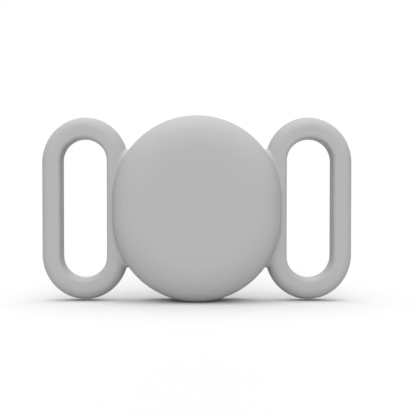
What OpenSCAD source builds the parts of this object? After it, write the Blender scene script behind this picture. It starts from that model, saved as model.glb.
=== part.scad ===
// Soft holder that carries a round tracker tag on a collar strap, with the tag inside it.
// It stands on edge: +X runs along the strap, the closed front faces -Y and +Z is up.
// The origin is under the middle of the width and depth, at the lowest point of the body.

/* [Silicone body] */
// Silicone between the tag and the front face
front_wall = 2.2; // [1.6:0.1:3]
// Silicone round the edge of the tag
side_wall = 2.55; // [2.2:0.05:4]
// How much taller than wide the body is
body_rise = 4.1; // [0:0.1:6]
// How far the tag's back lies inside the back face
recess = 1.7; // [1.4:0.1:3]
// How far in from the side the front face begins to roll over
roll_w = 8; // [6:0.1:9]
// Depth of that roll, from the flat of the face to the straight side
roll_d = 5.6; // [4.8:0.1:6]
// Roundness of the roll, where 2 is an ellipse
roll_power = 2.2; // [2:0.1:2.6]
// Radius of the back edge
back_edge_r = 1.5; // [0.8:0.1:2]
// Gap between the opening that the tag is pushed through and the battery cover
opening_gap = 0.2; // [0.1:0.05:0.6]
// Radius of the opening's outer edge
opening_edge_r = 0.8; // [0.4:0.1:1]

/* [Strap loops] */
// Width of each strap slot at the back
slot_w = 9.7; // [7:0.1:11]
// Height of each strap slot at the back
slot_h = 30.9; // [27:0.1:31.2]
// Width of the band round the slot at the back
band_w = 5.2; // [4.6:0.1:6]
// Depth of the band, front to back
band_t = 4.2; // [3.4:0.1:4.6]
// Lean in degrees of the slot's wall, which opens the slot towards the front
slot_draft = 6; // [2:0.5:8]
// Lean in degrees of the band's outer wall, which narrows the band towards the front
band_draft = 12; // [4:1:15]
// Radius of the front edge round the slot
slot_edge_r = 1; // [0.6:0.1:1.2]
// Radius of the band's outer front edge
band_edge_r = 1.7; // [1:0.1:1.8]
// Radius of the band's two back edges
band_back_r = 0.6; // [0.3:0.1:0.8]
// Silicone between the body's outline and the slot
bridge_w = 1.7; // [1:0.1:3]
// How far the band lies in front of the back face
band_setback = 2.1; // [1:0.1:2.4]

/* [Tracker tag] */
// Plastic from the bayonet groove out to the tag's widest line
rim_wall = 2.38; // [2.2:0.02:3]
// Room from the dome's front to the deck that carries the board
dome_room = 3.5; // [3.4:0.1:4]
// How far the widest line lies behind the front of that deck
belly_set = 0.9; // [0.8:0.05:1.2]
// Roundness of the dome, where 2 is an ellipse
dome_power = 2.5; // [2.3:0.1:3]
// Roundness of the white bevel on the back
bevel_power = 2.2; // [1.8:0.1:2.6]
// Wall of the white dome
shell_wall = 1; // [0.8:0.05:1.1]
// How far behind the widest line the dome meets the battery tray
seam_drop = 1.2; // [0.9:0.1:1.4]

/* [Sounder] */
// Mean diameter of the voice coil
coil_d = 9.5; // [8.8:0.1:10]
// Width of the coil's winding
coil_w = 0.7; // [0.5:0.05:0.8]
// Height of the coil
coil_h = 1.6; // [1.2:0.1:1.8]
// Gap between the coil and the iron on each side
air_gap = 0.35; // [0.2:0.05:0.45]
// Thickness of the pole plate
pole_t = 0.4; // [0.3:0.05:0.5]
// Air between the dome and the pole plate
pole_gap = 0.35; // [0.3:0.05:0.5]
// How much smaller in radius the magnet is than its pole plate
magnet_step = 0.2; // [0.1:0.05:0.4]
// Wall of the iron cup
cup_wall = 0.6; // [0.4:0.05:0.7]
// Base of the iron cup
cup_base = 0.4; // [0.3:0.05:0.45]

/* [Circuit board] */
// How far the board's edge lies inside the tag's widest line
board_inset = 2.55; // [2.5:0.05:2.8]
// Gap between the sounder's cup and the hole in the board
hole_gap = 0.45; // [0.3:0.05:0.6]
// Thickness of the board
board_t = 0.6; // [0.5:0.05:0.65]
// Diameter of the pegs that locate the board
peg_d = 1.4; // [1:0.1:1.6]
// Thickness of the antenna carrier
carrier_t = 0.5; // [0.35:0.05:0.55]
// How far the carrier's hole lies outside the board's hole
carrier_step = 0.7; // [0.4:0.05:1]
// Thickness of the antenna strips
antenna_t = 0.08; // [0.05:0.01:0.09]

/* [Battery tray] */
// Thickness of the deck between the board and the cell
deck_t = 0.5; // [0.45:0.05:0.6]
// Wall of the tub round the cell
tub_wall = 0.8; // [0.6:0.05:0.85]
// Room for the leaf spring between the deck and the cell
contact_gap = 0.25; // [0.2:0.01:0.3]
// Thickness of the spring contacts
contact_t = 0.12; // [0.08:0.01:0.14]
// Width of the spring contacts
contact_w = 3; // [2:0.1:3.6]
// Flat land between the cover and the white bevel
lip_land = 0.3; // [0.2:0.05:0.6]
// Thickness of the bayonet hooks
hook_t = 0.6; // [0.5:0.05:0.7]

/* [Coin cell] */
// Diameter of the cell
cell_d = 20; // [19.8:0.1:20.2]
// Thickness of the cell
cell_t = 3.2; // [3:0.05:3.25]
// Width of the can's rim round the cap
crimp_w = 1.3; // [1.2:0.05:1.8]
// Metal of the can and the cap
can_t = 0.25; // [0.2:0.01:0.3]
// Thickness of the lithium disc
anode_t = 0.7; // [0.5:0.05:0.8]
// Thickness of the separator
separator_t = 0.1; // [0.06:0.01:0.15]

/* [Battery cover] */
// Gap between the cell's tub and the bayonet ring
seal_room = 0.4; // [0.35:0.05:0.6]
// Thickness of the steel
steel_t = 0.35; // [0.3:0.01:0.4]
// How far the cover stands proud of the white bevel
cover_proud = 0.7; // [0.6:0.05:0.8]
// How much the cover's face is crowned
cover_crown = 0.12; // [0.05:0.01:0.14]
// Radius of the cover's edge
cover_edge_r = 0.9; // [0.8:0.05:0.95]
// Wall of the bayonet ring
ring_wall = 1.2; // [1:0.05:1.3]
// How far the bayonet tabs reach out
tab_reach = 0.85; // [0.6:0.05:0.95]
// Thickness of the bayonet tabs
tab_t = 0.5; // [0.4:0.05:0.55]
// Width of each tab in degrees
tab_angle = 20; // [16:1:22]
// How far the ring's front edge stands past the tabs
ring_nose = 0.06; // [0.04:0.01:0.1]
// Turn in degrees that frees the cover
twist = 24; // [24:1:30]
// Diameter of the O-ring's cord
seal_d = 0.5; // [0.4:0.05:0.55]

/* [Clearances] */
// Play between the tag and its pocket
pocket_fit = 0.1; // [0.05:0.01:0.2]
// Play between pieces that are glued or laid in
fit = 0.1; // [0.05:0.01:0.12]
// Play between pieces that turn past each other
run = 0.12; // [0.08:0.01:0.15]
// Film of glue between the cover and its ring
bond = 0.05; // [0.03:0.01:0.06]
// Room behind the cell
cell_play = 0.2; // [0.15:0.01:0.25]

/* [Hidden] */

// Smoothness of turned shapes, and steps along the drawn curves
$fn = 96;
curve_steps = 16;
roll_steps = 24;
corner_steps = 6;

// One overrun for every cut
cut = 0.5;

// Turns in degrees at which the capacitors stand round the board
capacitor_turns = [0, 12, 24, 128, 160, 200, 230, 260, 275, 305, 318, 331];

// Cell, and the tub that it drops into
cell_r = cell_d / 2;
cap_r = cell_r - crimp_w;
can_in_r = cell_r - can_t;
crimp_in_r = cap_r + 2 * can_t;
gasket_foot_r = cap_r - 2 * can_t;
tub_in_r = cell_r + 2 * fit;
tub_out_r = tub_in_r + tub_wall;

// Bayonet ring round the tub, the steel cover over it, and their seat in the tray
ring_in_r = tub_out_r + seal_room;
ring_out_r = ring_in_r + ring_wall;
cover_r = ring_out_r + bond + steel_t;
cover_flat_r = cover_r - cover_edge_r;
recess_r = cover_r + run;
flat_r = recess_r + lip_land;
hook_in_r = ring_out_r + run;
tab_r = ring_out_r + tab_reach;
groove_r = tab_r + run;
seal_ring_r = (ring_in_r + ring_out_r) / 2;
tab_places = [90, 210, 330];
tab_slack = 1.5;
rim_turn = 84;

// Radii of the tag, its pocket and the opening
tag_r = groove_r + rim_wall;
pocket_r = tag_r + pocket_fit;
opening_r = cover_r + opening_gap;

// Depths inside the tag, measured back from the front of its dome
deck_front = dome_room;
deck_back = deck_front + deck_t;
cell_front = deck_back + contact_gap;
cell_back = cell_front + cell_t;
tag_depth = cell_back + cell_play + steel_t;
belly_depth = deck_front + belly_set;
seam_depth = belly_depth + seam_drop;
lip_depth = tag_depth - cover_proud;
board_front = deck_front - board_t;
cup_front = shell_wall + pole_gap;
magnet_t = deck_front - cup_base - pole_t - cup_front;
back_depth = tag_depth + recess;
crimp_front = cell_front + can_t * 0.6;
cap_end = cell_front + can_t + anode_t + separator_t + can_t / 2;

// Depths of the cover's edge, its seat and the bayonet
rim_depth = tag_depth - cover_crown - cover_edge_r;
recess_depth = rim_depth - run;
hook_front = recess_depth - hook_t;
tab_back = hook_front - run;
tab_front = tab_back - tab_t;
ring_front = tab_front - ring_nose;
channel_depth = ring_front - run - seal_d;

// Outline and depth of the body, measured from the middle of the depth, front positive
body_r = pocket_r + side_wall;
body_h = 2 * body_r + body_rise;
holder_depth = front_wall + pocket_fit + tag_depth + recess;
front_z = holder_depth / 2;
back_z = -holder_depth / 2;
tag_front_z = front_z - front_wall - pocket_fit;

// Strap loops
slot_r = slot_w / 2;
slot_x = body_r + bridge_w + slot_r;
slot_run = slot_h - slot_w;
band_back_z = back_z + band_setback;

// Sounder radii
coil_in_r = coil_d / 2 - coil_w / 2;
coil_out_r = coil_d / 2 + coil_w / 2;
pole_r = coil_in_r - air_gap;
magnet_r = pole_r - magnet_step;
cup_in_r = coil_out_r + air_gap;
cup_r = cup_in_r + cup_wall;

// Board, pegs and what lies on the board: the chips take up most of the room under the carrier
board_r = tag_r - board_inset;
board_hole_r = cup_r + hole_gap;
peg_r = peg_d / 2;
peg_ring_r = board_r - peg_r / 2;
peg_angles = [30, 150, 270];
carrier_in = shell_wall + fit;
carrier_out = carrier_in + carrier_t;
carrier_hole_r = board_hole_r + carrier_step;
chip_ring_r = board_hole_r * 0.35 + board_r * 0.35 + cup_r * 0.32;
chip_reach_r = chip_ring_r * 1.18;
chip_h = (board_front - dome_depth(carrier_out, chip_reach_r)) * 0.72;

// Side springs: up from the board, over, and down against the can
side_leg_r = tub_in_r + tub_wall * 0.6;
side_touch_r = cell_r + contact_t * 0.75;
side_top = rim_depth - contact_t * 2;
side_spring = [
    [side_leg_r, -deck_front],
    [side_leg_r, -side_top + tub_wall * 0.5],
    [side_leg_r - tub_wall * 0.2, -side_top],
    [side_touch_r + tub_wall * 0.15, -side_top],
    [side_touch_r, -side_top + tub_wall * 0.6],
    [side_touch_r, -deck_back - cell_t * 0.3],
    [side_touch_r + tub_wall * 0.2, -deck_back - cell_t * 0.12]
];
side_turns = [60, 180];

// Leaf spring: out of the board, flat on the deck, then up against the cap
leaf_leg_r = board_hole_r + board_t * 2.4;
leaf_low = deck_back + contact_t * 0.6;
leaf_high = cell_front - contact_t * 0.6;
leaf_spring = [
    [leaf_leg_r, -deck_front],
    [leaf_leg_r, -leaf_low],
    [leaf_leg_r * 0.45, -leaf_low],
    [leaf_leg_r * 0.15, -leaf_high],
    [-leaf_leg_r * 0.08, -leaf_high],
    [-leaf_leg_r * 0.18, -leaf_low]
];
leaf_turn = 270;

// Angles on the drawn curves where the seam and the deck cross them
seam_turn = asin(pow((seam_depth - belly_depth) / (lip_depth - belly_depth), bevel_power / 2));
lip_turn = 30;

// Points on an arc, from one angle to another
function arc(centre, r, from, to, steps) = [
    for (i = [0:steps])
        let (turn = from + (to - from) * i / steps)
        centre + r * [cos(turn), sin(turn)]
];

// Point on the dome at a turn from 0 at its widest line to 90 at its front, drawn in by an inset
function dome_point(inset, turn) = [
    (tag_r - inset) * pow(cos(turn), 2 / dome_power),
    (belly_depth - inset) * pow(sin(turn), 2 / dome_power) - belly_depth
];
function dome_curve(inset, from, to) = [
    for (i = [0:curve_steps]) dome_point(inset, from + (to - from) * i / curve_steps)
];
// Depth of the drawn-in dome at a radius, and its turns at a given depth or a given radius
function dome_depth(inset, r) = -dome_point(inset, turn_at_radius(inset, r))[1];
function turn_at_depth(inset, depth) =
    asin(pow((belly_depth - depth) / (belly_depth - inset), dome_power / 2));
function turn_at_radius(inset, r) =
    acos(pow(r / (tag_r - inset), dome_power / 2));

// Point on the white bevel at a turn from 0 at the widest line to 90 at the land, grown by a play
function bevel_point(play, turn) = [
    flat_r + (tag_r + play - flat_r) * pow(cos(turn), 2 / bevel_power),
    -belly_depth - (lip_depth + play - belly_depth) * pow(sin(turn), 2 / bevel_power)
];
function bevel_curve(play, from, to) = [
    for (i = [0:curve_steps]) bevel_point(play, from + (to - from) * i / curve_steps)
];

// A line with thickness: each point moves aside by half of it, along the mean of its neighbours
function aside(path, i) =
    let (before = path[max(i - 1, 0)], after = path[min(i + 1, len(path) - 1)])
    let (way = (after - before) / norm(after - before))
    [-way[1], way[0]];
function strip(path, t) = concat(
    [for (i = [0:len(path) - 1]) path[i] + aside(path, i) * t / 2],
    [for (i = [len(path) - 1:-1:0]) path[i] - aside(path, i) * t / 2]
);

// Upright place of the holder, and of the tag in it
module upright() {
    translate([0, 0, body_h / 2])
        rotate([90, 0, 0])
            children();
}

module in_pocket() {
    upright()
        translate([0, 0, tag_front_z])
            children();
}

// A disc and a ring between two depths of the tag
module disc(r, front, back) {
    translate([0, 0, -back])
        cylinder(r = r, h = back - front);
}

module ring(r_in, r_out, front, back) {
    rotate_extrude()
        translate([r_in, -back])
            square([r_out - r_in, back - front]);
}

module sector(r_in, r_out, front, back, from, span) {
    rotate([0, 0, from])
        rotate_extrude(angle = span)
            translate([r_in, -back])
                square([r_out - r_in, back - front]);
}

// Half section of the body: small back edge, straight side, rolled edge, flat of the front
function body_section() = concat(
    [[0, back_z]],
    arc([body_r - back_edge_r, back_z + back_edge_r], back_edge_r, 270, 360, corner_steps),
    [for (i = [0:roll_steps])
        let (turn = 90 * i / roll_steps)
        [body_r - roll_w + roll_w * pow(cos(turn), 2 / roll_power),
         front_z - roll_d + roll_d * pow(sin(turn), 2 / roll_power)]],
    [[0, front_z]]
);

module body_solid() {
    half = body_section();
    for (end = [0, 1])
        rotate([0, 0, 180 * end])
            translate([0, body_rise / 2, 0])
                rotate_extrude(angle = 180)
                    polygon(half);
    if (body_rise > 0)
        rotate([90, 0, 0])
            linear_extrude(height = body_rise, center = true)
                polygon(concat(half, [for (i = [len(half) - 2:-1:1]) [-half[i][0], half[i][1]]]));
}

// How far an edge's centre lies inside a leaning wall, at a height over the wall's foot
function set_in(r, height, draft) = (r + height * sin(draft)) / cos(draft);

// Section of the band: flat back, two leaning walls and a narrower front, every edge rounded
function band_section() =
    let (outer_r = slot_r + band_w, back = band_back_r, rise = band_t - band_edge_r)
    let (slot_rise = band_t - slot_edge_r)
    concat(
        arc([slot_r + set_in(back, back, slot_draft), band_back_z + back],
            back, 180 - slot_draft, 270, corner_steps),
        arc([outer_r - set_in(back, back, band_draft), band_back_z + back],
            back, 270, 360 + band_draft, corner_steps),
        arc([outer_r - set_in(band_edge_r, rise, band_draft), band_back_z + rise],
            band_edge_r, band_draft, 90, corner_steps),
        arc([slot_r + set_in(slot_edge_r, slot_rise, slot_draft), band_back_z + slot_rise],
            slot_edge_r, 90, 180 - slot_draft, corner_steps)
    );

// Stadium-shaped loop: the band carried round the slot
module loop_solid() {
    section = band_section();
    for (end = [0, 1])
        rotate([0, 0, 180 * end]) {
            translate([0, slot_run / 2, 0])
                rotate_extrude(angle = 180)
                    polygon(section);
            rotate([90, 0, 0])
                linear_extrude(height = slot_run, center = true)
                    polygon(section);
        }
}

module pocket_cut() {
    rotate_extrude()
        polygon(concat(
            dome_curve(-pocket_fit, 90, 0),
            [[pocket_r, -back_depth - cut], [0, -back_depth - cut]]
        ));
}

module sleeve() {
    color("#b4b5b4")
        upright()
            difference() {
                union() {
                    body_solid();
                    for (side = [-1, 1])
                        translate([side * slot_x, 0, 0])
                            loop_solid();
                }
                translate([0, 0, tag_front_z])
                    pocket_cut();
            }
}

// Retaining lip: it fills the pocket's mouth behind the tag's bevel, down to the opening
module pocket_lip() {
    seat = bevel_curve(pocket_fit, lip_turn, 90);
    color("#b4b5b4")
        in_pocket()
            rotate_extrude()
                polygon(concat(
                    [[pocket_r, seat[0][1]]],
                    seat,
                    [[opening_r, -lip_depth - pocket_fit]],
                    arc(
                        [opening_r + opening_edge_r, opening_edge_r - back_depth],
                        opening_edge_r, 180, 270, corner_steps
                    ),
                    [[pocket_r, -back_depth]]
                ));
}

// White front shell, its rim ending at the seam
module tag_dome() {
    inner_r = tag_r - shell_wall;
    color("#f4f4f2")
        in_pocket()
            rotate_extrude()
                polygon(concat(
                    dome_curve(0, 90, 0),
                    [for (p = bevel_curve(0, 0, seam_turn)) if (p[1] < -belly_depth) p],
                    [[inner_r, -seam_depth]],
                    dome_curve(shell_wall, 0, 90)
                ));
}

module voice_coil() {
    color("#b8733a")
        in_pocket()
            difference() {
                ring(coil_in_r, coil_out_r, 0, shell_wall + coil_h);
                rotate_extrude()
                    polygon(concat(
                        dome_curve(shell_wall, 0, 90),
                        [[0, 0], [tag_r, 0], [tag_r, -belly_depth]]
                    ));
            }
}

module pole_plate() {
    color("#8d9196")
        in_pocket()
            disc(pole_r, cup_front, cup_front + pole_t);
}

module magnet() {
    color("#6f747a")
        in_pocket()
            disc(magnet_r, cup_front + pole_t, cup_front + pole_t + magnet_t);
}

module magnet_cup() {
    color("#a3a7ab")
        in_pocket()
            difference() {
                disc(cup_r, cup_front, deck_front);
                disc(cup_in_r, cup_front - cut, deck_front - cup_base);
            }
}

// Curved ring that follows the inside of the dome and stands on the rim of the board
module antenna_carrier() {
    color("#e6e4dc")
        in_pocket()
            rotate_extrude()
                polygon(concat(
                    dome_curve(
                        carrier_in,
                        turn_at_radius(carrier_in, carrier_hole_r),
                        turn_at_depth(carrier_in, board_front)
                    ),
                    dome_curve(
                        carrier_out,
                        turn_at_depth(carrier_out, board_front),
                        turn_at_radius(carrier_out, carrier_hole_r)
                    )
                ));
}

// One antenna: a thin strip on the carrier between two radii, over some degrees
module antenna(r_in, r_out, from, span) {
    over = carrier_in - antenna_t;
    rotate([0, 0, from])
        rotate_extrude(angle = span)
            polygon(concat(
                dome_curve(over, turn_at_radius(over, r_in), turn_at_radius(over, r_out)),
                dome_curve(
                    carrier_in, turn_at_radius(carrier_in, r_out), turn_at_radius(carrier_in, r_in)
                )
            ));
}

module antennas() {
    inner = carrier_hole_r * 1.08;
    outer = board_r * 0.94;
    middle = (inner + outer) / 2;
    color("#c98f4e")
        in_pocket() {
            antenna(middle, outer, 20, 110);
            antenna(inner, middle, 160, 80);
            antenna(middle, outer, 250, 85);
        }
}

module pegs(r, front, back) {
    for (turn = peg_angles)
        rotate([0, 0, turn])
            translate([peg_ring_r, 0, 0])
                disc(r, front, back);
}

module circuit_board() {
    color("#1d5b3a")
        in_pocket()
            difference() {
                ring(board_hole_r, board_r, board_front, deck_front);
                pegs(peg_r + fit, board_front - cut, deck_front + cut);
            }
}

// A low block on the front of the board, at a turn round the ring
module chip(w, d, h, turn) {
    rotate([0, 0, turn])
        translate([chip_ring_r - w / 2, -d / 2, -board_front])
            cube([w, d, h]);
}

module radio_shield() {
    shield_w = chip_ring_r * 0.3;
    color("#c2c6c9")
        in_pocket()
            sector(
                chip_ring_r - shield_w / 2, chip_ring_r + shield_w / 2,
                board_front - chip_h, board_front, 46, 64
            );
}

module radio_chip() {
    side = chip_ring_r * 0.32;
    color("#24262a")
        in_pocket()
            chip(side, side, chip_h, 180);
}

module flash_chip() {
    side = chip_ring_r * 0.22;
    color("#2a2c30")
        in_pocket()
            chip(side, side * 1.4, chip_h, 215);
}

module amplifier_chip() {
    side = chip_ring_r * 0.19;
    color("#2f3136")
        in_pocket()
            chip(side, side, chip_h * 0.9, 245);
}

module motion_sensor() {
    side = chip_ring_r * 0.21;
    color("#26282c")
        in_pocket()
            chip(side, side, chip_h, 140);
}

module crystal() {
    side = chip_ring_r * 0.17;
    color("#d2d4d6")
        in_pocket()
            chip(side, side * 1.3, chip_h * 0.8, 290);
}

module capacitors() {
    side = chip_ring_r * 0.055;
    color("#8a6f55")
        in_pocket()
            for (turn = capacitor_turns)
                chip(side * 2, side, chip_h * 0.7, turn);
}

// Half section of the tray: plug in the dome, white bevel, seat for the cover, tub for the cell
function tray_section() = concat(
    [[0, -deck_front]],
    dome_curve(carrier_in, turn_at_depth(carrier_in, deck_front), 0),
    [[tag_r - carrier_in, -seam_depth]],
    bevel_curve(0, seam_turn, 90),
    [
        [recess_r, -lip_depth],
        [recess_r, -recess_depth],
        [hook_in_r, -recess_depth],
        [hook_in_r, -channel_depth],
        [tub_out_r, -channel_depth],
        [tub_out_r, -rim_depth],
        [tub_in_r, -rim_depth],
        [tub_in_r, -deck_back],
        [0, -deck_back]
    ]
);

// Where each tab turns under its hook, and the way in beside it
module bayonet_cut() {
    half = tab_angle / 2 + tab_slack;
    for (place = tab_places) {
        sector(
            hook_in_r - cut, groove_r, tab_front - run, hook_front,
            place - twist - half, twist + 2 * half
        );
        sector(
            hook_in_r - cut, groove_r, tab_front - run, recess_depth + cut,
            place - twist - half, 2 * half
        );
    }
}

// A contact of strip metal, bent in the plane of radius and depth
module bent_strip(path, turn) {
    rotate([0, 0, turn])
        rotate([90, 0, 0])
            linear_extrude(height = contact_w, center = true)
                polygon(strip(path, contact_t));
}

// Room for a contact: a window between two radii and two depths
module window(r_in, r_out, front, back, turn) {
    rotate([0, 0, turn])
        translate([r_in, -contact_w / 2 - fit, -back])
            cube([r_out - r_in, contact_w + 2 * fit, back - front]);
}

module battery_tray() {
    color("#efefec")
        in_pocket()
            difference() {
                union() {
                    rotate_extrude()
                        polygon(tray_section());
                    pegs(peg_r, board_front + fit, deck_front + deck_t / 2);
                }
                bayonet_cut();
                for (turn = side_turns) {
                    window(
                        tub_in_r - cut, side_leg_r + contact_t / 2 + fit,
                        deck_back, rim_depth + cut, turn
                    );
                    window(
                        side_leg_r - contact_t / 2 - fit, side_leg_r + contact_t / 2 + fit,
                        deck_front - cut, deck_back + cut, turn
                    );
                }
                window(
                    leaf_leg_r - contact_t / 2 - fit, leaf_leg_r + contact_t / 2 + fit,
                    deck_front - cut, deck_back + cut, leaf_turn
                );
            }
}

module negative_contact() {
    color("#c9a24a")
        in_pocket()
            bent_strip(leaf_spring, leaf_turn);
}

module positive_contacts() {
    color("#c9a24a")
        in_pocket()
            for (turn = side_turns)
                bent_strip(side_spring, turn);
}

// Cell: can crimped over a gasket, with the cap in it
module cell_can() {
    color("#c8cbce")
        in_pocket()
            rotate_extrude()
                polygon([
                    [0, -cell_back],
                    [cell_r - can_t, -cell_back],
                    [cell_r, -cell_back + can_t],
                    [cell_r, -crimp_front - can_t],
                    [cell_r - can_t, -crimp_front],
                    [crimp_in_r, -crimp_front],
                    [crimp_in_r, -crimp_front - can_t],
                    [can_in_r, -crimp_front - can_t],
                    [can_in_r, -cell_back + can_t],
                    [0, -cell_back + can_t]
                ]);
}

module cell_gasket() {
    color("#2b2b2d")
        in_pocket()
            rotate_extrude()
                polygon([
                    [cap_r, -crimp_front],
                    [crimp_in_r, -crimp_front],
                    [crimp_in_r, -crimp_front - can_t],
                    [can_in_r, -crimp_front - can_t],
                    [can_in_r, -cell_back + can_t],
                    [gasket_foot_r, -cell_back + can_t],
                    [gasket_foot_r, -cap_end],
                    [cap_r, -cap_end]
                ]);
}

module cell_cap() {
    color("#d4d6d8")
        in_pocket()
            difference() {
                disc(cap_r, cell_front, cap_end);
                disc(cap_r - can_t, cell_front + can_t, cap_end + cut);
            }
}

module cell_anode() {
    color("#9fa4a8")
        in_pocket()
            disc(cap_r - can_t - fit, cell_front + can_t, cell_front + can_t + anode_t);
}

module cell_separator() {
    color("#f0efe9")
        in_pocket()
            disc(
                cap_r - can_t - fit,
                cell_front + can_t + anode_t, cell_front + can_t + anode_t + separator_t
            );
}

module cell_cathode() {
    color("#34363a")
        in_pocket()
            disc(
                gasket_foot_r - fit,
                cell_front + can_t + anode_t + separator_t, cell_back - can_t
            );
}

module cover_seal() {
    color("#3a3a3c")
        in_pocket()
            rotate_extrude()
                translate([seal_ring_r, -channel_depth - seal_d / 2])
                    circle(r = seal_d / 2);
}

// Ring with three tabs, its back end shaped to the inside of the steel dish
module cover_ring() {
    inner_edge_r = cover_edge_r - steel_t - bond;
    color("#e2e1dc")
        in_pocket() {
            rotate_extrude()
                polygon(concat(
                    [[ring_in_r, -ring_front], [ring_out_r, -ring_front]],
                    arc([cover_flat_r, -rim_depth], inner_edge_r, 0, -90, corner_steps),
                    [[ring_in_r, -rim_depth - inner_edge_r]]
                ));
            for (place = tab_places)
                sector(
                    ring_out_r - ring_wall / 2, tab_r, tab_front, tab_back,
                    place - tab_angle / 2, tab_angle
                );
        }
}

// Pressed dish: crowned face and a rolled rim of even thickness
function cover_face(drop, from, to) = [
    for (i = [0:curve_steps])
        let (share = from + (to - from) * i / curve_steps)
        [cover_flat_r * share, cover_crown * share * share - tag_depth + drop]
];

module battery_cover() {
    color("#d9dadc")
        in_pocket()
            rotate_extrude()
                polygon(concat(
                    arc([cover_flat_r, -rim_depth], cover_edge_r, 0, -rim_turn, corner_steps),
                    cover_face(0, 1, 0),
                    cover_face(steel_t, 0, 1),
                    arc(
                        [cover_flat_r, -rim_depth], cover_edge_r - steel_t,
                        -rim_turn, 0, corner_steps
                    )
                ));
}

sleeve();
pocket_lip();
tag_dome();
voice_coil();
pole_plate();
magnet();
magnet_cup();
antenna_carrier();
antennas();
circuit_board();
radio_shield();
radio_chip();
flash_chip();
amplifier_chip();
motion_sensor();
crystal();
capacitors();
battery_tray();
negative_contact();
positive_contacts();
cell_can();
cell_gasket();
cell_cap();
cell_anode();
cell_separator();
cell_cathode();
cover_seal();
cover_ring();
battery_cover();
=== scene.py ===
"""Looks of a soft collar holder for a round tracker tag, dressed over its CAD model."""

from itertools import product

import bpy
import numpy as np
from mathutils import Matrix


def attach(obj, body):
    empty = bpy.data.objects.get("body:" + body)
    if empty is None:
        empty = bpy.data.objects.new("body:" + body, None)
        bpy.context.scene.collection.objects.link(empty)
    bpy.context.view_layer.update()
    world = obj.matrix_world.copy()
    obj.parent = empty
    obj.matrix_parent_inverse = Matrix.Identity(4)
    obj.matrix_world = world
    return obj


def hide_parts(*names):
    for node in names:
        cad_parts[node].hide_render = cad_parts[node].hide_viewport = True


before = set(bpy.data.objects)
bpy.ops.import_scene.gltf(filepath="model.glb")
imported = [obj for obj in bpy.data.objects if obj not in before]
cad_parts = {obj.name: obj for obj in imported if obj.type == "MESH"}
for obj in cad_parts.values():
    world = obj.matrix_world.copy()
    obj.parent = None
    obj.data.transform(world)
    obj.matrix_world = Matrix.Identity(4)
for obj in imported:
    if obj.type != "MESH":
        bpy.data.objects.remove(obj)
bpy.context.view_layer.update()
MM = 0.001

# Sizes of the tag in millimetres, as part.scad has them. Depths are measured back from the
# front of its dome.
TAG_R = 15.95
TAG_DEPTH = 8.0
DOME_POWER = 2.5
BELLY_DEPTH = 4.4
SEAM_DROP = 1.2
SEAM_DEPTH = BELLY_DEPTH + SEAM_DROP
SHELL_WALL = 1.0
COVER_R = 13.0
COVER_EDGE_R = 0.9
COVER_CROWN = 0.12
COVER_PROUD = 0.7
COVER_RUN = 0.12
STEEL_T = 0.35
LIP_LAND = 0.3
LIP_DEPTH = TAG_DEPTH - COVER_PROUD
BEVEL_FLAT_R = COVER_R + COVER_RUN + LIP_LAND
BEVEL_POWER = 2.2

# Sizes of the holder's body, as part.scad has them. The holder's own axes are x along the
# strap, y up from mid height and z towards the closed front, from mid depth.
POCKET_FIT = 0.1
SIDE_WALL = 2.55
FRONT_WALL = 2.2
RECESS = 1.7
BODY_R = TAG_R + POCKET_FIT + SIDE_WALL
BODY_RISE = 4.1
BODY_H = 2 * BODY_R + BODY_RISE
BODY_DEPTH = FRONT_WALL + POCKET_FIT + TAG_DEPTH + RECESS
FRONT_Z = BODY_DEPTH / 2
BACK_Z = -BODY_DEPTH / 2
TAG_FRONT_Z = FRONT_Z - FRONT_WALL - POCKET_FIT
ROLL_W = 8.0
ROLL_D = 5.6
ROLL_POWER = 2.2
BACK_EDGE_R = 1.5
OPENING_GAP = 0.2
OPENING_R = COVER_R + OPENING_GAP
OPENING_EDGE_R = 0.8

# Sizes of the strap loops, whose run is the straight length between the centres of their ends.
# Outside, the ends are a little taller than half circles. The loops were fitted to the photo
# once more after the solids were final, and lie within 0.3 mm of part.scad's. Only this skin
# has the seat's edge and the crease.
BRIDGE_W = 1.67
SLOT_R = 4.88
SLOT_X = BODY_R + BRIDGE_W + SLOT_R
SLOT_RUN = 21.2
SLOT_DRAFT = np.radians(4.0)
SLOT_EDGE_R = 0.75
LOOP_RUN = 20.4
LOOP_TALL = 0.6
BAND_W = 4.95
BAND_T = 4.2
BAND_SETBACK = 2.1
BAND_BACK_Z = BACK_Z + BAND_SETBACK
BAND_DRAFT = np.radians(9.0)
BAND_EDGE_R = 1.7
BAND_BACK_R = 0.6
SEAT_EDGE_R = 0.3
CREASE_R = 0.85

# How the skin is worked out: the step of its grid, the room round it, and the nudge that
# measures a slope, all in millimetres
SKIN_STEP = 0.32
SKIN_ROOM = 0.9
NUDGE = 1e-3

# Limits that keep the skin's divisions and moves small, and how often its vertices are moved
LEAST_SLOPE = 0.05
LEAST_SQUARE = 0.04
MOST_MOVE = 0.2
MOST_ALIKE = 0.95
EVEN_ROUNDS = 4
NEWTON_STEPS = 2

# How finely the turned pieces are drawn
LATHE_TURNS = 240
DOME_POINTS = 96
INSIDE_POINTS = 64
BEVEL_POINTS = 24
FACE_POINTS = 40
ARC_POINTS = 12

# The sharp edge of the dome's seam is eased by two points, each (inwards, forwards) from it in
# millimetres. The cover's rolled edge starts at this angle, just past its crowned face.
SEAM_EASE = np.array([[0.05, 0.03], [0.1, 0.0]])
ROLLED_FROM = 88

# In each finish the mottling is coarser than the grain by this share, nearly all of the noise
# lies between these two levels, and the roughness varies by this share of itself
MOTTLE_SHARE = 0.35
NOISE_LOW = 0.3
NOISE_HIGH = 0.7
ROUGH_SHARE = 0.1


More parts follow.
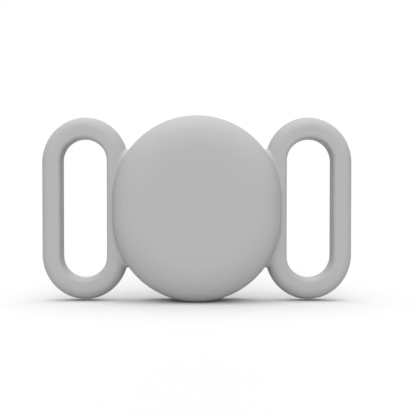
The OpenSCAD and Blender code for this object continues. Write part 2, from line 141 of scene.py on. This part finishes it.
def roll_shape(r, z):
    """Below zero in the front of the body: a superellipse round a flat disc. The radius past the
    disc over the roll's width, and the height past its start over its depth, are raised to a
    power and summed, and the root of that is taken, less one."""
    wide = np.maximum(r - (BODY_R - ROLL_W), 0) / ROLL_W
    deep = np.maximum(z - (FRONT_Z - ROLL_D), 0) / ROLL_D
    return (wide**ROLL_POWER + deep**ROLL_POWER) ** (1 / ROLL_POWER) - 1


def true_distance(shape, r, z):
    """A shape's value divided by the length of its own slope, which is close to a distance."""
    along_r = shape(r + NUDGE, z) - shape(np.maximum(r - NUDGE, 0), z)
    along_z = shape(r, z + NUDGE) - shape(r, z - NUDGE)
    return shape(r, z) / np.maximum(np.hypot(along_r, along_z) / (2 * NUDGE), LEAST_SLOPE)


def body_distance(p):
    """Distance to the body. Its outline is a circle pulled apart in height, so the radius is
    taken from the nearer end centre. Its half section is the roll round the flat of the front,
    a straight side and the small back edge."""
    r = np.hypot(p[..., 0], np.maximum(np.abs(p[..., 1]) - BODY_RISE / 2, 0))
    z = p[..., 2]
    out = r - (BODY_R - BACK_EDGE_R)
    back = BACK_Z + BACK_EDGE_R - z
    low = np.minimum(np.maximum(out, back), 0) - BACK_EDGE_R
    low += np.hypot(np.maximum(out, 0), np.maximum(back, 0))
    return np.where(z > FRONT_Z - ROLL_D, true_distance(roll_shape, r, z), low)


def rounded_both(a, b, radius):
    """Distance to what lies in both shapes, their common edge rounded: the length of the two
    distances past the arc's centre, less the radius."""
    edge = np.hypot(np.maximum(a + radius, 0), np.maximum(b + radius, 0))
    return np.minimum(-radius, np.maximum(a, b)) + edge


def loop_distance(p):
    """Distance to the two strap loops, a band carried round a stadium whose ends are a little
    taller than half circles outside. The band's section lies between a flat back, a narrower
    front and two leaning walls, and each of its edges is rounded."""
    x, y = np.abs(p[..., 0]) - SLOT_X, np.abs(p[..., 1])
    in_slot = SLOT_R - np.hypot(x, np.maximum(y - SLOT_RUN / 2, 0))
    outer_r = SLOT_R + BAND_W
    end = np.maximum(y - LOOP_RUN / 2, 0) * outer_r / (outer_r + LOOP_TALL)
    past_band = np.hypot(x, end) - outer_r
    high = p[..., 2] - BAND_BACK_Z
    inner = high * np.sin(SLOT_DRAFT) + in_slot * np.cos(SLOT_DRAFT)
    outer = high * np.sin(BAND_DRAFT) + past_band * np.cos(BAND_DRAFT)
    front, back = high - BAND_T, -high
    corners = [
        rounded_both(inner, front, SLOT_EDGE_R),
        rounded_both(outer, front, BAND_EDGE_R),
        rounded_both(inner, back, BAND_BACK_R),
        rounded_both(outer, back, BAND_BACK_R),
    ]
    return np.max(corners, axis=0)


def slope(distance, p):
    """Gradient of a distance by central differences."""
    sides = []
    for axis in range(3):
        shift = np.zeros(3)
        shift[axis] = NUDGE
        sides.append(distance(p + shift) - distance(p - shift))
    return np.stack(sides, -1) / (2 * NUDGE)


def outer_distance(p):
    """Body and loops joined by a hollow fillet of constant radius. Where both walls are nearer
    than the radius, the distance is measured from the fillet's centre line, in the slanted
    axes that the two walls' normals make."""
    a, b = body_distance(p), loop_distance(p)
    cosine = np.sum(slope(body_distance, p) * slope(loop_distance, p), -1)
    cosine = np.clip(cosine, -MOST_ALIKE, MOST_ALIKE)
    u, v = CREASE_R - a, CREASE_R - b
    from_centre = (u * u + v * v - 2 * cosine * u * v) / (1 - cosine**2)
    filleted = (u > cosine * v) & (v > cosine * u) & (u > 0) & (v > 0)
    return np.where(filleted, CREASE_R - np.sqrt(from_centre), np.minimum(a, b))


def pocket_shape(r, z):
    """Below zero in the tag's room: a superellipse in front of the widest line, and behind it
    the bevel's superellipse round a flat disc, each the root of its summed powers, less one."""
    depth = TAG_FRONT_Z - z
    front = (r / (TAG_R + POCKET_FIT)) ** DOME_POWER
    front += (np.maximum(BELLY_DEPTH - depth, 0) / (BELLY_DEPTH + POCKET_FIT)) ** DOME_POWER
    wide = np.maximum(r - BEVEL_FLAT_R, 0) / (TAG_R + POCKET_FIT - BEVEL_FLAT_R)
    deep = np.maximum(depth - BELLY_DEPTH, 0) / (LIP_DEPTH + POCKET_FIT - BELLY_DEPTH)
    behind = (wide**BEVEL_POWER + deep**BEVEL_POWER) ** (1 / BEVEL_POWER) - 1
    return np.where(depth < BELLY_DEPTH, front ** (1 / DOME_POWER) - 1, behind)


def moulding_distance(p):
    """Distance to the moulding: body and loops, less the pocket and the opening behind it. To
    be outside a shape is to be inside its distance with the sign turned."""
    r = np.hypot(p[..., 0], p[..., 1])
    opening = np.maximum(r - OPENING_R, p[..., 2] - (TAG_FRONT_Z - BELLY_DEPTH))
    pocket = true_distance(pocket_shape, r, p[..., 2])
    hollow = rounded_both(-pocket, -opening, SEAT_EDGE_R)
    return rounded_both(outer_distance(p), hollow, OPENING_EDGE_R)


def crossings(value, grid, axis):
    """Which of the grid's edges along one axis the surface crosses, the points where it does,
    by straight lines between the values, and which edges start inside the shape."""
    near = [slice(None)] * 3
    far = [slice(None)] * 3
    near[axis], far[axis] = slice(None, -1), slice(1, None)
    a, b = value[tuple(near)], value[tuple(far)]
    crossed = (a < 0) != (b < 0)
    share = np.where(crossed, a / np.where(crossed, a - b, 1), 0)[..., None]
    point = grid[tuple(near)] * (1 - share) + grid[tuple(far)] * share
    return crossed, point, a < 0


def cell_vertices(edges, cells):
    """The number of each cell's vertex, or -1, and the vertices. A vertex is the mean of the
    crossings on its cell's edges."""
    total, count = np.zeros(cells + (3,)), np.zeros(cells)
    for axis, (crossed, point, _) in enumerate(edges):
        one, two = (axis + 1) % 3, (axis + 2) % 3
        for i, j in product((0, 1), repeat=2):
            part = [slice(None)] * 3
            part[one], part[two] = slice(i, i + cells[one]), slice(j, j + cells[two])
            count += crossed[tuple(part)]
            total += point[tuple(part)] * crossed[tuple(part)][..., None]
    used = count > 0
    number = np.full(cells, -1)
    number[used] = np.arange(used.sum())
    return number, total[used] / count[used][:, None]


def edge_faces(edges, number, axis):
    """A four-sided face round each crossed edge along one axis. Its corners are the vertices of
    the four cells that share the edge, in the order that makes it face outwards."""
    crossed, _, starts_inside = edges[axis]
    one, two = (axis + 1) % 3, (axis + 2) % 3
    at = np.argwhere(crossed)
    at = at[(at[:, one] > 0) & (at[:, two] > 0)]
    ring = []
    for i, j in ((0, 0), (1, 0), (1, 1), (0, 1)):
        cell = at.copy()
        cell[:, one] -= 1 - i
        cell[:, two] -= 1 - j
        ring.append(number[tuple(cell.T)])
    quad = np.stack(ring, -1)
    return np.where(starts_inside[tuple(at.T)][:, None], quad, quad[:, ::-1])


def settle(distance, vertices, faces):
    """Each vertex moves halfway to the mean of its neighbours, and back onto the surface by
    Newton's step, the distance along the slope over the square of the slope's length."""
    start = faces.T.ravel()
    end = np.roll(faces, -1, axis=1).T.ravel()
    degree = np.bincount(start, minlength=len(vertices))[:, None]
    for _ in range(EVEN_ROUNDS):
        mean = [np.bincount(start, vertices[end, k], len(vertices)) for k in range(3)]
        vertices = (vertices + np.stack(mean, -1) / degree) / 2
        for _ in range(NEWTON_STEPS):
            uphill = slope(distance, vertices)
            square = np.maximum(np.sum(uphill**2, -1), LEAST_SQUARE)
            move = uphill * (distance(vertices) / square)[:, None]
            vertices = vertices - np.clip(move, -MOST_MOVE, MOST_MOVE)
    return vertices


def skin(distance, low, high, step):
    """Closed surface of a distance by surface nets: a vertex in each grid cell that the surface
    passes through and a face round each grid edge that it crosses, then settled."""
    axes = [np.arange(low[k], high[k] + step, step) for k in range(3)]
    grid = np.stack(np.meshgrid(*axes, indexing="ij"), -1)
    value = distance(grid)
    edges = [crossings(value, grid, axis) for axis in range(3)]
    number, vertices = cell_vertices(edges, tuple(n - 1 for n in value.shape))
    faces = np.concatenate([edge_faces(edges, number, axis) for axis in range(3)])
    return settle(distance, vertices, faces), faces


def upright(points):
    """The holder's own axes in millimetres, turned into the frame in metres."""
    x, y, z = np.moveaxis(np.asarray(points, float), -1, 0)
    return np.stack([x, -z, y + BODY_H / 2], -1) * MM


def mesh_piece(name, points, faces, material):
    """A smooth mesh object at the origin with its place in its vertices."""
    mesh = bpy.data.meshes.new(name)
    mesh.from_pydata(points, [], faces)
    mesh.polygons.foreach_set("use_smooth", np.ones(len(mesh.polygons), bool))
    mesh.validate()
    mesh.materials.append(material)
    piece = bpy.data.objects.new(name, mesh)
    bpy.context.scene.collection.objects.link(piece)
    return piece


def dress(piece, body, slot, *nodes):
    """A piece takes the place of CAD nodes, which are hidden, and rides their body. The slot is not
    used.
    """
    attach(piece, body)
    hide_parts(*nodes)


def lathe(name, profile, material):
    """A closed profile of (radius, depth) points carried once round the tag's axis: the radius
    times the cosine and the sine of the angle. The profile starts on the axis and ends on it
    further to the front, so that the faces point outwards, and each end gets one point."""
    r, depth = np.asarray(profile, float).T
    angle = np.arange(LATHE_TURNS) * 2 * np.pi / LATHE_TURNS
    ring_r, ring_depth = r[1:-1, None], depth[1:-1, None]
    spots = [ring_r * np.cos(angle), ring_r * np.sin(angle), TAG_FRONT_Z - ring_depth]
    points = np.stack(np.broadcast_arrays(*spots), -1).reshape(-1, 3)
    ends = [[0, 0, TAG_FRONT_Z - depth[0]], [0, 0, TAG_FRONT_Z - depth[-1]]]
    first = np.arange(len(ring_r) - 1)[:, None] * LATHE_TURNS
    following = first + LATHE_TURNS
    column = np.arange(LATHE_TURNS)
    beside = (column + 1) % LATHE_TURNS
    walls = [first + column, first + beside, following + beside, following + column]
    pole = np.full(LATHE_TURNS, len(points))
    last = len(first) * LATHE_TURNS
    faces = np.stack(walls, -1).reshape(-1, 4).tolist()
    faces += np.stack([pole, beside, column], -1).tolist()
    faces += np.stack([pole + 1, last + column, last + beside], -1).tolist()
    return mesh_piece(name, upright(np.concatenate([points, ends])), faces, material)


def dome_line(inset, start, stop, count):
    """Points of the dome drawn in by an inset, from one angle to another, 90 at its front. A
    superellipse: the radius times the cosine and the depth times the sine, each to two over
    the dome's power."""
    turn = np.radians(np.linspace(start, stop, count))
    r = (TAG_R - inset) * np.abs(np.cos(turn)) ** (2 / DOME_POWER)
    rise = (BELLY_DEPTH - inset) * np.sin(turn) ** (2 / DOME_POWER)
    return np.stack([r, BELLY_DEPTH - rise], -1)


def bevel_line(stop_depth):
    """Points of the white bevel from the widest line back to a depth: the width past the flat
    times the root of one less the share of the depth, by the bevel's power."""
    depth = np.linspace(BELLY_DEPTH, stop_depth, BEVEL_POINTS)[1:]
    share = (depth - BELLY_DEPTH) / (LIP_DEPTH - BELLY_DEPTH)
    wide = np.abs(1 - share**BEVEL_POWER) ** (1 / BEVEL_POWER)
    return np.stack([BEVEL_FLAT_R + (TAG_R - BEVEL_FLAT_R) * wide, depth], -1)


def arc_line(middle, radius, start, stop):
    """Points on an arc of a profile, its angles in degrees."""
    turn = np.radians(np.linspace(start, stop, ARC_POINTS))
    return np.stack([middle[0] + radius * np.cos(turn), middle[1] + radius * np.sin(turn)], -1)


def linear(colour):
    """An sRGB hex colour as linear RGBA."""
    value = np.array([int(colour[k : k + 2], 16) for k in (1, 3, 5)]) / 255
    value = np.where(value < 0.04045, value / 12.92, ((value + 0.055) / 1.055) ** 2.4)
    return (*value.tolist(), 1.0)


def add(tree, kind, wires=None, values=None, **settings):
    """Adds a node: wires join its inputs to other sockets, values fill inputs in, and settings
    are its own."""
    node = tree.nodes.new(kind)
    for key, value in settings.items():
        setattr(node, key, value)
    for key, value in (values or {}).items():
        node.inputs[key].default_value = value
    for key, socket in (wires or {}).items():
        tree.links.new(socket, node.inputs[key])
    return node


def seen_by_eye(tree):
    """One for rays from the camera and those that mirrors and glass pass on, else zero."""
    path = add(tree, "ShaderNodeLightPath").outputs
    seen = path["Is Camera Ray"]
    for other in ("Is Glossy Ray", "Is Transmission Ray"):
        wires = {0: seen, 1: path[other]}
        seen = add(tree, "ShaderNodeMath", wires, operation="MAXIMUM").outputs[0]
    return seen


def new_material(name):
    """An empty node material, its shader, and Object coordinates in millimetres."""
    material = bpy.data.materials.new(name)
    material.use_nodes = True
    tree = material.node_tree
    tree.nodes.clear()
    place = add(tree, "ShaderNodeTexCoord").outputs["Object"]
    scale = (1 / MM, 1 / MM, 1 / MM)
    spot = add(tree, "ShaderNodeMapping", {"Vector": place}, {"Scale": scale}).outputs[0]
    shader = add(tree, "ShaderNodeBsdfPrincipled")
    add(tree, "ShaderNodeOutputMaterial", {"Surface": shader.outputs[0]})
    return material, tree, shader.inputs, spot


def finish(name, colour, rough, metal=0.0, grain=1.0, depth=0.004, shade=0.04):
    """A material with a mottled colour and a grained surface. grain is the size of the grain
    in millimetres, depth its height, and shade how much the colour varies."""
    material, tree, shader, spot = new_material(name)
    noise = "ShaderNodeTexNoise"
    mottle = add(tree, noise, {"Vector": spot}, {"Scale": MOTTLE_SHARE / grain, "Detail": 3.0})
    fine = add(tree, noise, {"Vector": spot}, {"Scale": 1 / grain, "Detail": 2.0}).outputs["Fac"]
    full = np.array(linear(colour))
    dark = np.append(full[:3] * (1 - shade), 1).tolist()
    light = np.append(np.minimum(full[:3] * (1 + shade), 1), 1).tolist()
    wires = {"Factor": mottle.outputs["Fac"]}
    tint = add(tree, "ShaderNodeMix", wires, {"A": dark, "B": light}, data_type="RGBA")
    spread = {
        "From Min": NOISE_LOW,
        "From Max": NOISE_HIGH,
        "To Min": rough * (1 - ROUGH_SHARE),
        "To Max": rough * (1 + ROUGH_SHARE),
    }
    roughness = add(tree, "ShaderNodeMapRange", {"Value": fine}, spread)
    bump = add(tree, "ShaderNodeBump", {"Height": fine}, {"Distance": depth * MM})
    tree.links.new(tint.outputs["Result"], shader["Base Color"])
    tree.links.new(roughness.outputs["Result"], shader["Roughness"])
    tree.links.new(bump.outputs["Normal"], shader["Normal"])
    shader["Metallic"].default_value = metal
    return material


# Finishes: each is the real material and how it was made, its colour as seen, its roughness and
# the size of its grain. Real grain is mostly finer than the camera sees, and is drawn coarser.

# Silicone from a blasted mould: an even, soft grey whose highlight is too broad to be seen
silicone = finish("silicone_soft_touch_moulded", "#b4b5b4", 0.6, grain=0.3, shade=0.01)
# Polycarbonate from a polished mould: white under a sharp highlight that waves a little
dome_white = finish("polycarbonate_gloss_moulded", "#f1f1ee", 0.12, grain=6, depth=0.01, shade=0.01)
# Polycarbonate from a finely blasted mould: the same white, a little duller, its highlight soft
tray_white = finish("polycarbonate_satin_moulded", "#ebebe7", 0.3, grain=0.4, depth=0.003)
# Stainless steel, pressed and polished: a cool mirror with the slightest blur
steel = finish("stainless_steel_polished", "#c4c5c8", 0.16, metal=1.0, grain=0.8, depth=0.001)

NODE_FINISHES = {
    # The sounder: copper wire in ripples, dull iron, and a magnet with a nickel shine
    "voice_coil": finish("copper_enamelled_wire", "#b8733a", 0.3, metal=1.0, grain=0.12, depth=0.03),
    "pole_plate": finish("iron_stamped", "#8d9196", 0.4, metal=1.0, grain=0.5),
    "magnet": finish("neodymium_nickel_plated", "#a3a6a9", 0.25, metal=1.0, grain=0.4),
    "magnet_cup": finish("iron_zinc_plated", "#a3a7ab", 0.35, metal=1.0, grain=0.5),
    # The radio: cream plastic under bright copper, a mottled green board, a soft tin shine on the
    # can, black chips whose highlight is dull, and a bright lid on the crystal
    "antenna_carrier": finish("liquid_crystal_polymer", "#e6e4dc", 0.5, grain=0.3),
    "antennas": finish("copper_plated_trace", "#c98f4e", 0.35, metal=1.0, grain=0.2),
    "circuit_board": finish("solder_mask_green", "#1d5b3a", 0.35, grain=0.6, shade=0.12),
    "radio_shield": finish("tinplate_drawn", "#c2c6c9", 0.28, metal=1.0, grain=0.6),
    "radio_chip": finish("epoxy_moulded_black", "#24262a", 0.45, grain=0.15),
    "flash_chip": finish("epoxy_moulded_dark", "#2a2c30", 0.5, grain=0.15),
    "amplifier_chip": finish("epoxy_moulded_grey", "#2f3136", 0.5, grain=0.15),
    "motion_sensor": finish("epoxy_moulded_matt", "#26282c", 0.55, grain=0.15),
    "crystal": finish("kovar_lid", "#d2d4d6", 0.2, metal=1.0, grain=0.3),
    "capacitors": finish("ceramic_fired", "#8a6f55", 0.4, grain=0.1, shade=0.1),
    # The tray shows its bevel and its slots beside the steel cover. The springs shine like gold.
    "battery_tray": tray_white,
    "negative_contact": finish("gold_plated_spring", "#c9a24a", 0.25, metal=1.0, grain=0.3),
    "positive_contacts": finish("gold_plated_springs", "#c9a24a", 0.25, metal=1.0, grain=0.3),
    # The cell: a bright can and cap with a dull black gasket between them, and inside them grey
    # lithium, white felt and black powder
    "cell_can": finish("steel_nickel_plated", "#c8cbce", 0.25, metal=1.0, grain=0.5),
    "cell_gasket": finish("polypropylene_black", "#2b2b2d", 0.5, grain=0.3),
    "cell_cap": finish("steel_nickel_cap", "#d4d6d8", 0.22, metal=1.0, grain=0.5),
    "cell_anode": finish("lithium_pressed", "#9fa4a8", 0.45, metal=1.0, grain=0.8, shade=0.1),
    "cell_separator": finish("polypropylene_felt", "#f0efe9", 0.9, grain=0.1, depth=0.02),
    "cell_cathode": finish("manganese_dioxide_pressed", "#34363a", 0.85, grain=0.12, depth=0.02),
    # The cover's seal is dull black rubber, and its ring a waxy off-white
    "cover_seal": finish("nitrile_rubber", "#3a3a3c", 0.6, grain=0.2),
    "cover_ring": finish("acetal_moulded", "#e2e1dc", 0.4, grain=0.3),
}
for name, material in NODE_FINISHES.items():
    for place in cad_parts[name].material_slots:
        place.material = material

# The moulding, one closed skin in place of the sleeve and its lip
reach = np.array([SLOT_X + SLOT_R + BAND_W, BODY_H / 2, FRONT_Z]) + SKIN_ROOM
step = SKIN_STEP
sleeve_points, sleeve_faces = skin(moulding_distance, -reach, reach, step)
sleeve = mesh_piece("sleeve_moulding", upright(sleeve_points), sleeve_faces.tolist(), silicone)
dress(sleeve, "holder", "silicone", "sleeve", "pocket_lip")

# The dome: outside, round past the widest line to the seam, and back along the inside. The lathe
# takes that line from its inner end.
seam = bevel_line(SEAM_DEPTH)
seam_end = [*(seam[-1] - SEAM_EASE), [TAG_R - SHELL_WALL, SEAM_DEPTH]]
outside = dome_line(0, 90, 0, DOME_POINTS)
inside = dome_line(SHELL_WALL, 0, 90, INSIDE_POINTS)
shell_line = np.concatenate([outside, seam[:-1], seam_end, inside])
dome = lathe("tag_dome_shell", shell_line[::-1], dome_white)
dress(dome, "tag", "white_plastic", "tag_dome")

# The steel cover: a face crowned by a parabola, the rolled edge, and the same line inside it
edge_middle = [COVER_R - COVER_EDGE_R, TAG_DEPTH - COVER_CROWN - COVER_EDGE_R]
across = np.linspace(0, 1, FACE_POINTS)[:, None]
face = np.concatenate([across * edge_middle[0], TAG_DEPTH - COVER_CROWN * across**2], 1)
rolled = arc_line(edge_middle, COVER_EDGE_R, ROLLED_FROM, 0)
rolled_back = arc_line(edge_middle, COVER_EDGE_R - STEEL_T, 0, ROLLED_FROM)
cover_line = np.concatenate([face[:-1], rolled, rolled_back, (face - [0, STEEL_T])[-2::-1]])
cover = lathe("battery_cover_dish", cover_line, steel)
dress(cover, "cover", "polished_steel", "battery_cover")

# Floor card, dull and without gloss. It is white to the eye. To the surfaces it is darker behind the
# part than in front of it, a painted shade that stands for less light falling behind the part, and
# turns from one to the other between these depths in millimetres. Half its side is in metres.
FLOOR_SEEN = "#e6e6e6"
FLOOR_NEAR = "#d2d2d2"
# The floor's colour behind the part, seen only by the surfaces: painted shade
FLOOR_PAINTED_SHADE = "#505050"
FLOOR_TURN = {"From Min": -4.0, "From Max": 12.0}
FLOOR_ROUGH = 0.9
FLOOR_HALF = 3.0
floor_material, tree, shader, spot = new_material("floor_card")
apart = add(tree, "ShaderNodeSeparateXYZ", {"Vector": spot}).outputs["Y"]
behind = add(tree, "ShaderNodeMapRange", {"Value": apart}, FLOOR_TURN).outputs["Result"]
ends = {"A": linear(FLOOR_NEAR), "B": linear(FLOOR_PAINTED_SHADE)}
thrown = add(tree, "ShaderNodeMix", {"Factor": behind}, ends, data_type="RGBA")
wires = {"Factor": seen_by_eye(tree), "A": thrown.outputs["Result"]}
shown = add(tree, "ShaderNodeMix", wires, {"B": linear(FLOOR_SEEN)}, data_type="RGBA")
tree.links.new(shown.outputs["Result"], shader["Base Color"])
shader["Roughness"].default_value = FLOOR_ROUGH
shader["Specular IOR Level"].default_value = 0.0
corners = np.array([[-1, -1, 0], [1, -1, 0], [1, 1, 0], [-1, 1, 0]]) * FLOOR_HALF
mesh_piece("floor_card", corners, [[0, 1, 2, 3]], floor_material)

# World: white to the eye, and to the surfaces a sum of soft lights. Each light has the way it
# stands in, how narrow it is (the power of the cosine to that way) and its level.
LIGHTS = {
    "overhead": ((0, 0, 1), 4, 3.2),
    "front_top": ((0, -0.91, 0.41), 20, 3.2),
    "left_fill": ((-1, -2, 0.6), 6, 0.42),
    "right_fill": ((1, -2, 0.6), 6, 0.3),
    "behind": ((0, 1, 0.1), 40, 6.0),
}
WHITE = (1, 1, 1, 1)
world = bpy.data.worlds.new("studio")
bpy.context.scene.world = world
world.use_nodes = True
tree = world.node_tree
tree.nodes.clear()
way = add(tree, "ShaderNodeTexCoord").outputs["Generated"]
level = None
for axis, power, strength in LIGHTS.values():
    unit = tuple(np.array(axis) / np.linalg.norm(axis))
    dot = add(tree, "ShaderNodeVectorMath", {0: way}, {1: unit}, operation="DOT_PRODUCT")
    facing = add(tree, "ShaderNodeMath", {0: dot.outputs["Value"]}, {1: 0.0}, operation="MAXIMUM")
    lobe = add(tree, "ShaderNodeMath", {0: facing.outputs[0]}, {1: power}, operation="POWER")
    wires, values = {0: lobe.outputs[0]}, {1: strength, 2: 0.0}
    if level:
        wires[2] = level
    level = add(tree, "ShaderNodeMath", wires, values, operation="MULTIPLY_ADD").outputs[0]
sky = add(tree, "ShaderNodeBackground", {"Strength": level}, {"Color": WHITE})
white = add(tree, "ShaderNodeBackground", None, {"Color": WHITE, "Strength": 1.0})
wires = {0: seen_by_eye(tree), 1: sky.outputs[0], 2: white.outputs[0]}
mixed = add(tree, "ShaderNodeMixShader", wires)
add(tree, "ShaderNodeOutputWorld", {"Surface": mixed.outputs[0]})

# Camera: square on and hardly above mid height. The range and the width of the view are in
# metres, and the aim is how many of the photo's pixels the object sits left of and below the
# middle of the frame.
RANGE = 0.175
ELEVATION = np.radians(1.2)
FRAME_WIDTH = 0.09244
AIM_X = 11.2
AIM_Z = 0.75
PHOTO_SIDE = 416
SENSOR = 36
NEAR_CLIP = 0.01
camera_data = bpy.data.cameras.new("camera")
camera = bpy.data.objects.new("camera", camera_data)
bpy.context.scene.collection.objects.link(camera)
bpy.context.scene.camera = camera
camera_data.sensor_width = SENSOR
camera_data.lens = SENSOR * RANGE / FRAME_WIDTH
camera_data.shift_x = AIM_X / PHOTO_SIDE
camera_data.shift_y = AIM_Z / PHOTO_SIDE
camera_data.clip_start = NEAR_CLIP
camera.location = (0, -RANGE * np.cos(ELEVATION), BODY_H / 2 * MM + RANGE * np.sin(ELEVATION))
camera.rotation_euler = (np.pi / 2 - ELEVATION, 0, 0)

bpy.context.scene.view_settings.view_transform = "Standard"
